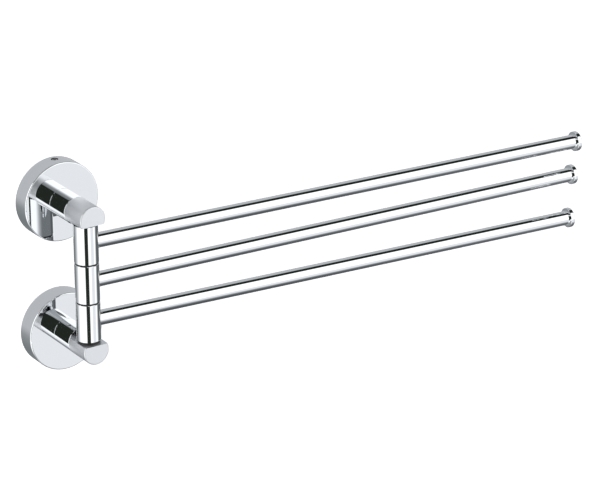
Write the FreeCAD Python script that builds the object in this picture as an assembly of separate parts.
import FreeCAD, Part
import math

# Swing arm towel bar: three bars turn on one upright pivot rod, one above the other.
# Two round rosettes hold the pivot a short way off the wall, each with a post and a pivot head.
#
# Frame: the wall is the plane Y = 0 and the towel bar stands in front of it, towards -Y.
# +Z is up, and +X runs along the wall, the way the arms point at rest.
# The origin is on the wall, halfway between the two rosettes.
# Sizes are in millimetres and angles in degrees.

Vector = FreeCAD.Vector
Rotation = FreeCAD.Rotation
Placement = FreeCAD.Placement

# ---------------------------------------------------------------- driving dimensions

# Fits and clearances
thread_clearance = 0.05      # radial, between a screw and its tapped hole
seat_clearance = 0.05        # radial, between two pieces that seat in each other
running_clearance = 0.05     # radial, between the pivot rod and a bush
screw_clearance = 0.30       # radial, where a screw only passes through
axial_play = 0.05            # above and below each hub
end_gap = 0.30               # between the end of a piece and the floor of its hole

# Rosette: a round cup, open to the wall
rosette_diameter = 57.0
rosette_depth = 13.8
rosette_wall = 2.8
rosette_face = 3.0           # thickness of the front
rosette_edge_round = 0.8     # front edge
rosette_inner_round = 1.2
register_diameter = 12.0     # the post's short spigot, let into the rosette's front
register_depth = 1.2

# Post and pivot head
post_diameter = 19.4
post_length = 19.6
edge_break = 0.2             # small bevel at both ends of the post and at the back of the head
head_length = 21.9
head_flat_offset = 4.25      # from the post's axis to the flat that faces the hubs
head_end_round = 0.8
head_spigot_diameter = 10.0
head_spigot_length = 2.0
pivot_from_head_back = 11.4

# Screw that clamps the rosette, the post and the head together
post_screw_diameter = 6.0
post_screw_length = 30.0
post_screw_head_diameter = 10.0
post_screw_head_height = 6.0
post_screw_socket = 5.0      # across the flats

# Wall bracket, hidden in the rosette
bracket_thickness = 8.4
bracket_gap = 0.3            # between the bracket's edge and the rosette's wall
bracket_chamfer = 0.5
bracket_window = 16.0        # hole that clears the head of the post screw
groove_depth = 2.0           # 90 degree groove round the edge for the grub screw's tip
groove_offset = 0.3          # groove's middle, nearer to the wall than the grub screw
wall_hole_diameter = 4.6
wall_hole_spacing = 30.0
wall_hole_countersink = 9.0  # diameter at the face

# Grub screw in the rosette's rim
grub_diameter = 4.0
grub_from_wall = 5.2
grub_recess = 0.4            # outer end below the rim
grub_tip_diameter = 1.0
grub_socket = 2.0            # across the flats
grub_mouth = 0.5             # radial, the wide mouth of the hole round the screw
grub_mouth_depth = 1.0

# Pivot rod and the screw that locks it from below
rod_diameter = 6.0
rod_chamfer = 0.4
upper_rod_socket = 9.0       # depth of the hole in the upper head
lower_rod_socket = 7.0       # depth of the hole in the lower head
lock_screw_diameter = 4.0
lock_screw_length = 10.0
lock_screw_head_diameter = 7.0
lock_screw_head_height = 2.8
lock_screw_socket = 2.5      # across the flats
lock_screw_recess = 0.8      # from the head of the screw to the outside
rod_thread_depth = 8.0

# Hubs, bushes and washers, stacked on the rod
hub_diameter = 17.0
hub_height = 27.5
hub_chamfer = 0.2
bush_diameter = 8.0
bush_length = 10.0
bush_inset = 0.3             # from the hub's end to the bush
washer_diameter = 15.6
hub_washer_thickness = 1.0
upper_washer_thickness = 1.2
lower_washer_thickness = 1.8

# Arms
tube_diameter = 10.6
tube_wall = 1.2
tube_socket_floor = 6.3      # from the pivot axis to the flat floor of the hub's socket
plug_length = 12.0
plug_stub_diameter = 5.0
plug_chamfer = 0.5
cap_diameter = 14.7
cap_thickness = 3.4
cap_front_round = 0.9
cap_back_break = 0.2
cap_spigot_length = 9.0
top_arm_reach = 401.0        # from the pivot axis to the outer face of the end cap
middle_arm_reach = 403.0
bottom_arm_reach = 393.5
top_arm_angle = -4.5         # at rest, from the wall's direction: minus is away from the wall
middle_arm_angle = -3.6
bottom_arm_angle = -5.3

# ---------------------------------------------------------------- sizes that follow

rosette_radius = rosette_diameter / 2
rosette_bore = rosette_radius - rosette_wall
post_radius = post_diameter / 2
head_back = rosette_depth + post_length
head_front = head_back + head_length
pivot_from_wall = head_back + pivot_from_head_back
hub_radius = hub_diameter / 2
tube_radius = tube_diameter / 2
tube_bore = tube_radius - tube_wall
plug_radius = tube_bore - seat_clearance
rod_radius = rod_diameter / 2

hub_pitch = hub_height + hub_washer_thickness + 2 * axial_play
stack_height = 2 * hub_pitch + hub_height + 2 * axial_play + upper_washer_thickness + lower_washer_thickness
flat_height = stack_height / 2                      # the flats lie this far above and below the origin
post_height = flat_height + head_flat_offset        # and the posts' axes this far
bottom_hub_base = -flat_height + lower_washer_thickness + axial_play

screw_seat = rosette_depth - rosette_face           # the post screw's head bears here
screw_tip = screw_seat + post_screw_length
lock_seat = post_radius - lock_screw_recess - lock_screw_head_height
lower_rod_end = lower_rod_socket - head_flat_offset - end_gap
upper_rod_end = upper_rod_socket - head_flat_offset - end_gap

# ---------------------------------------------------------------- helpers


def turned(*corners):
    """Solid turned about Z from its half section, given as (radius, height) corners."""
    points = [Vector(radius, 0, height) for radius, height in corners]
    section = Part.Face(Part.makePolygon(points + points[:1]))
    return section.revolve(Vector(0, 0, 0), Vector(0, 0, 1), 360)


def bar(radius, start, end):
    """Round bar on the Z axis between two heights."""
    return Part.makeCylinder(radius, end - start, Vector(0, 0, start))


def cone(start_radius, end_radius, start, end):
    """Tapered bar on the Z axis between two heights."""
    return Part.makeCone(start_radius, end_radius, end - start, Vector(0, 0, start))


def hexagon(across_flats, start, end):
    """Six-sided bar on the Z axis, for the key of a socket screw."""
    corner = across_flats / math.sqrt(3)
    turns = [math.radians(60 * side) for side in range(6)]
    points = [Vector(corner * math.cos(turn), corner * math.sin(turn), start) for turn in turns]
    outline = Part.Face(Part.makePolygon(points + points[:1]))
    return outline.extrude(Vector(0, 0, end - start))


def ring_edges(shape, radius, height):
    """Round edges about Z that have this radius at this height."""
    found = []
    for edge in shape.Edges:
        if not isinstance(edge.Curve, Part.Circle):
            continue
        flat = abs(edge.BoundBox.ZLength) < 1e-6 and abs(edge.BoundBox.ZMin - height) < 1e-6
        if flat and abs(edge.Curve.Radius - radius) < 1e-6:
            found.append(edge)
    return found


def rounded(shape, size, radius, height):
    """The shape with the edge of this radius at this height rounded."""
    return shape.makeFillet(size, ring_edges(shape, radius, height))


def along_x(shape):
    """Turn a piece from the Z axis onto the X axis."""
    shape.rotate(Vector(0, 0, 0), Vector(0, 1, 0), 90)
    return shape


def along_y(shape, from_wall):
    """Turn a piece from the Z axis onto the Y axis, this far in front of the wall."""
    shape.rotate(Vector(0, 0, 0), Vector(1, 0, 0), -90)
    shape.translate(Vector(0, 0, from_wall))
    return shape


def save(name, shape):
    """Write one piece under its own name."""
    shape.exportStep(f"parts/{name}.step")
    print(f"{name}: {shape.Volume:.0f} mm3")


# ---------------------------------------------------------------- wall supports
# Each support is drawn with Z as the distance in front of the wall and Y pointing away from the hubs.


def rosette():
    """Cup with a recess for the post, a hole for its screw and a tapped hole in the rim."""
    recess = register_diameter / 2 + seat_clearance
    recess_floor = rosette_depth - register_depth
    passage = post_screw_diameter / 2 + screw_clearance
    cup = turned(
        (rosette_bore, 0),
        (rosette_radius, 0),
        (rosette_radius, rosette_depth),
        (recess, rosette_depth),
        (recess, recess_floor),
        (passage, recess_floor),
        (passage, screw_seat),
        (rosette_bore, screw_seat),
    )
    cup = rounded(cup, rosette_edge_round, rosette_radius, rosette_depth)
    cup = rounded(cup, rosette_inner_round, rosette_bore, screw_seat)
    thread = grub_diameter / 2 + thread_clearance
    hole = bar(thread, rosette_bore - rosette_wall, rosette_radius + rosette_wall)
    mouth = bar(thread + grub_mouth, rosette_radius - grub_mouth_depth, rosette_radius + rosette_wall)
    return cup.cut(along_y(hole.fuse(mouth), grub_from_wall))


def post():
    """Plain round post with a register at the wall end and a socket at the head end."""
    passage = post_screw_diameter / 2 + screw_clearance
    register = register_diameter / 2
    register_end = rosette_depth - register_depth + seat_clearance
    socket = head_spigot_diameter / 2 + seat_clearance
    socket_floor = head_back - head_spigot_length - seat_clearance
    return turned(
        (passage, register_end),
        (register, register_end),
        (register, rosette_depth),
        (post_radius - edge_break, rosette_depth),
        (post_radius, rosette_depth + edge_break),
        (post_radius, head_back - edge_break),
        (post_radius - edge_break, head_back),
        (socket, head_back),
        (socket, socket_floor),
        (passage, socket_floor),
    )


def pivot_head():
    """Round head with a spigot, a tapped hole and a flat along the side that faces the hubs."""
    spigot = head_spigot_diameter / 2
    spigot_end = head_back - head_spigot_length
    thread = post_screw_diameter / 2 + thread_clearance
    thread_end = screw_tip + end_gap
    blank = turned(
        (thread, spigot_end),
        (spigot, spigot_end),
        (spigot, head_back),
        (post_radius - edge_break, head_back),
        (post_radius, head_back + edge_break),
        (post_radius, head_front),
        (0, head_front),
        (0, thread_end),
        (thread, thread_end),
    )
    blank = rounded(blank, head_end_round, post_radius, head_front)
    cutter = Part.makeBox(
        post_diameter, post_radius, head_length, Vector(-post_radius, -head_flat_offset - post_radius, head_back)
    )
    return blank.cut(cutter)


def rod_socket(depth):
    """Hole for the pivot rod, from the head's flat inwards."""
    hole = bar(rod_radius + seat_clearance, -head_flat_offset, depth - head_flat_offset)
    return along_y(hole, pivot_from_wall)


def upper_pivot_head():
    """Head that holds the top of the rod in a blind hole."""
    return pivot_head().cut(rod_socket(upper_rod_socket))


def lower_pivot_head():
    """Head that holds the foot of the rod, with a counterbored hole for the lock screw."""
    passage = bar(lock_screw_diameter / 2 + screw_clearance, 0, post_radius)
    counterbore = bar(lock_screw_head_diameter / 2 + screw_clearance, lock_seat, post_diameter)
    drilled = pivot_head().cut(rod_socket(lower_rod_socket))
    return drilled.cut(along_y(passage.fuse(counterbore), pivot_from_wall))


def post_screw():
    """Socket head screw from inside the rosette, through the post, into the head."""
    head_end = screw_seat - post_screw_head_height
    head = bar(post_screw_head_diameter / 2, head_end, screw_seat)
    shank = bar(post_screw_diameter / 2, screw_seat, screw_tip)
    key = hexagon(post_screw_socket, head_end, head_end + post_screw_head_height / 2)
    return head.fuse(shank).removeSplitter().cut(key)


def wall_bracket():
    """Round plate for two countersunk wall screws, with a groove round its edge."""
    edge = rosette_bore - bracket_gap
    groove_middle = grub_from_wall - groove_offset
    window = bracket_window / 2
    plate = turned(
        (window, 0),
        (edge, 0),
        (edge, groove_middle - groove_depth),
        (edge - groove_depth, groove_middle),
        (edge, groove_middle + groove_depth),
        (edge, bracket_thickness - bracket_chamfer),
        (edge - bracket_chamfer, bracket_thickness),
        (window, bracket_thickness),
    )
    hole_radius = wall_hole_diameter / 2
    sink_radius = wall_hole_countersink / 2
    sink_depth = sink_radius - hole_radius
    for side in (-1, 1):
        hole = bar(hole_radius, 0, bracket_thickness)
        sink = cone(hole_radius, sink_radius, bracket_thickness - sink_depth, bracket_thickness)
        drill = hole.fuse(sink)
        drill.translate(Vector(side * wall_hole_spacing / 2, 0, 0))
        plate = plate.cut(drill)
    return plate


def grub_screw():
    """Headless screw in the rim whose pointed tip sits in the bracket's groove."""
    radius = grub_diameter / 2
    tip_radius = grub_tip_diameter / 2
    groove_floor = rosette_bore - bracket_gap - groove_depth
    tip = groove_floor + tip_radius + groove_offset + end_gap
    outer_end = rosette_radius - grub_recess
    body = turned(
        (0, tip),
        (tip_radius, tip),
        (radius, tip + radius - tip_radius),
        (radius, outer_end),
        (0, outer_end),
    )
    key = hexagon(grub_socket, outer_end - grub_diameter / 2, outer_end)
    return along_y(body.cut(key), grub_from_wall)


def support_placement(side):
    """Where a support stands: side is 1 above the hubs and -1 below, where it is turned half round."""
    half_turn = Rotation(Vector(0, 0, 1), 0 if side > 0 else 180)
    off_the_wall = Rotation(Vector(1, 0, 0), 90)
    return Placement(Vector(0, 0, side * post_height), off_the_wall.multiply(half_turn))


def placed(shape, placement):
    """A support's piece at its place in the assembly."""
    shape.Placement = placement.multiply(shape.Placement)
    return shape


# ---------------------------------------------------------------- pivot


def on_pivot(shape, height=0):
    """Move a piece from the Z axis onto the pivot axis, at this height."""
    shape.translate(Vector(0, -pivot_from_wall, height))
    return shape


def pivot_rod():
    """Plain rod from head to head, bevelled at its ends and tapped from below for the lock screw."""
    foot = -post_height - lower_rod_end
    top = post_height + upper_rod_end
    thread = lock_screw_diameter / 2 + thread_clearance
    rod = turned(
        (thread, foot),
        (rod_radius - rod_chamfer, foot),
        (rod_radius, foot + rod_chamfer),
        (rod_radius, top - rod_chamfer),
        (rod_radius - rod_chamfer, top),
        (0, top),
        (0, foot + rod_thread_depth),
        (thread, foot + rod_thread_depth),
    )
    return on_pivot(rod)


def pivot_lock_screw():
    """Cap screw let into the lower head, up into the foot of the rod."""
    seat = -post_height - lock_seat
    head_end = seat - lock_screw_head_height
    head = bar(lock_screw_head_diameter / 2, head_end, seat)
    shank = bar(lock_screw_diameter / 2, seat, seat + lock_screw_length)
    key = hexagon(lock_screw_socket, head_end, head_end + lock_screw_head_height / 2)
    return on_pivot(head.fuse(shank).removeSplitter().cut(key))


def washer(thickness, base):
    """Flat washer round the rod."""
    outer = bar(washer_diameter / 2, base, base + thickness)
    hole = bar(rod_radius + seat_clearance, base, base + thickness)
    return on_pivot(outer.cut(hole))


# ---------------------------------------------------------------- arms
# Each arm is drawn round the Z axis as its pivot, pointing along +X, with the bar at height 0.


def hub():
    """Upright barrel with a bore for its bushes and a flat-floored socket for the tube."""
    end = hub_height / 2
    bore = bush_diameter / 2 + seat_clearance
    barrel = turned(
        (bore, -end),
        (hub_radius - hub_chamfer, -end),
        (hub_radius, -end + hub_chamfer),
        (hub_radius, end - hub_chamfer),
        (hub_radius - hub_chamfer, end),
        (bore, end),
    )
    socket = bar(tube_radius + seat_clearance, tube_socket_floor, hub_diameter)
    stub_hole = bar(plug_stub_diameter / 2 + seat_clearance, 0, hub_diameter)
    return barrel.cut(along_x(socket.fuse(stub_hole)))


def bush(side):
    """Plain bearing bush near one end of the hub."""
    outer_end = hub_height / 2 - bush_inset
    base = outer_end - bush_length if side > 0 else -outer_end
    outer = bar(bush_diameter / 2, base, base + bush_length)
    return outer.cut(bar(rod_radius + running_clearance, base, base + bush_length))


def tube(reach):
    """Round tube from the hub's socket to the end cap."""
    end = reach - cap_thickness
    return along_x(bar(tube_radius, tube_socket_floor, end).cut(bar(tube_bore, tube_socket_floor, end)))


def tube_plug():
    """Plug in the hub end of the tube, with a stub through the hub's wall."""
    stub_end = bush_diameter / 2 + end_gap
    plug_end = tube_socket_floor + plug_length
    plug = turned(
        (0, stub_end),
        (plug_stub_diameter / 2, stub_end),
        (plug_stub_diameter / 2, tube_socket_floor),
        (plug_radius, tube_socket_floor),
        (plug_radius, plug_end - plug_chamfer),
        (plug_radius - plug_chamfer, plug_end),
        (0, plug_end),
    )
    return along_x(plug)


def end_cap(reach):
    """Turned button that is wider than the tube, with a spigot inside it."""
    radius = cap_diameter / 2
    back = reach - cap_thickness
    spigot_end = back - cap_spigot_length
    cap = turned(
        (0, spigot_end),
        (plug_radius - plug_chamfer, spigot_end),
        (plug_radius, spigot_end + plug_chamfer),
        (plug_radius, back),
        (radius - cap_back_break, back),
        (radius, back + cap_back_break),
        (radius, reach),
        (0, reach),
    )
    return along_x(rounded(cap, cap_front_round, radius, reach))


def swung(shape, angle, height):
    """An arm's piece at its rest angle and height on the pivot."""
    shape.rotate(Vector(0, 0, 0), Vector(0, 0, 1), angle)
    return on_pivot(shape, height)


# ---------------------------------------------------------------- assembly

for side, name, head in ((1, "upper", upper_pivot_head()), (-1, "lower", lower_pivot_head())):
    place = support_placement(side)
    save(f"{name}_rosette", placed(rosette(), place))
    save(f"{name}_post", placed(post(), place))
    save(f"{name}_pivot_head", placed(head, place))
    save(f"{name}_post_screw", placed(post_screw(), place))
    save(f"{name}_wall_bracket", placed(wall_bracket(), place))
    save(f"{name}_grub_screw", placed(grub_screw(), place))

save("pivot_rod", pivot_rod())
save("pivot_lock_screw", pivot_lock_screw())
save("lower_washer", washer(lower_washer_thickness, -flat_height))
save("upper_washer", washer(upper_washer_thickness, flat_height - upper_washer_thickness))
for level, name in enumerate(("lower_hub_washer", "upper_hub_washer")):
    washer_base = bottom_hub_base + level * hub_pitch + hub_height + axial_play
    save(name, washer(hub_washer_thickness, washer_base))

arms = (
    ("bottom", bottom_arm_reach, bottom_arm_angle),
    ("middle", middle_arm_reach, middle_arm_angle),
    ("top", top_arm_reach, top_arm_angle),
)
for level, (name, reach, angle) in enumerate(arms):
    bar_height = bottom_hub_base + hub_height / 2 + level * hub_pitch
    save(f"{name}_hub", swung(hub(), angle, bar_height))
    save(f"{name}_upper_bush", swung(bush(1), angle, bar_height))
    save(f"{name}_lower_bush", swung(bush(-1), angle, bar_height))
    save(f"{name}_tube", swung(tube(reach), angle, bar_height))
    save(f"{name}_tube_plug", swung(tube_plug(), angle, bar_height))
    save(f"{name}_end_cap", swung(end_cap(reach), angle, bar_height))
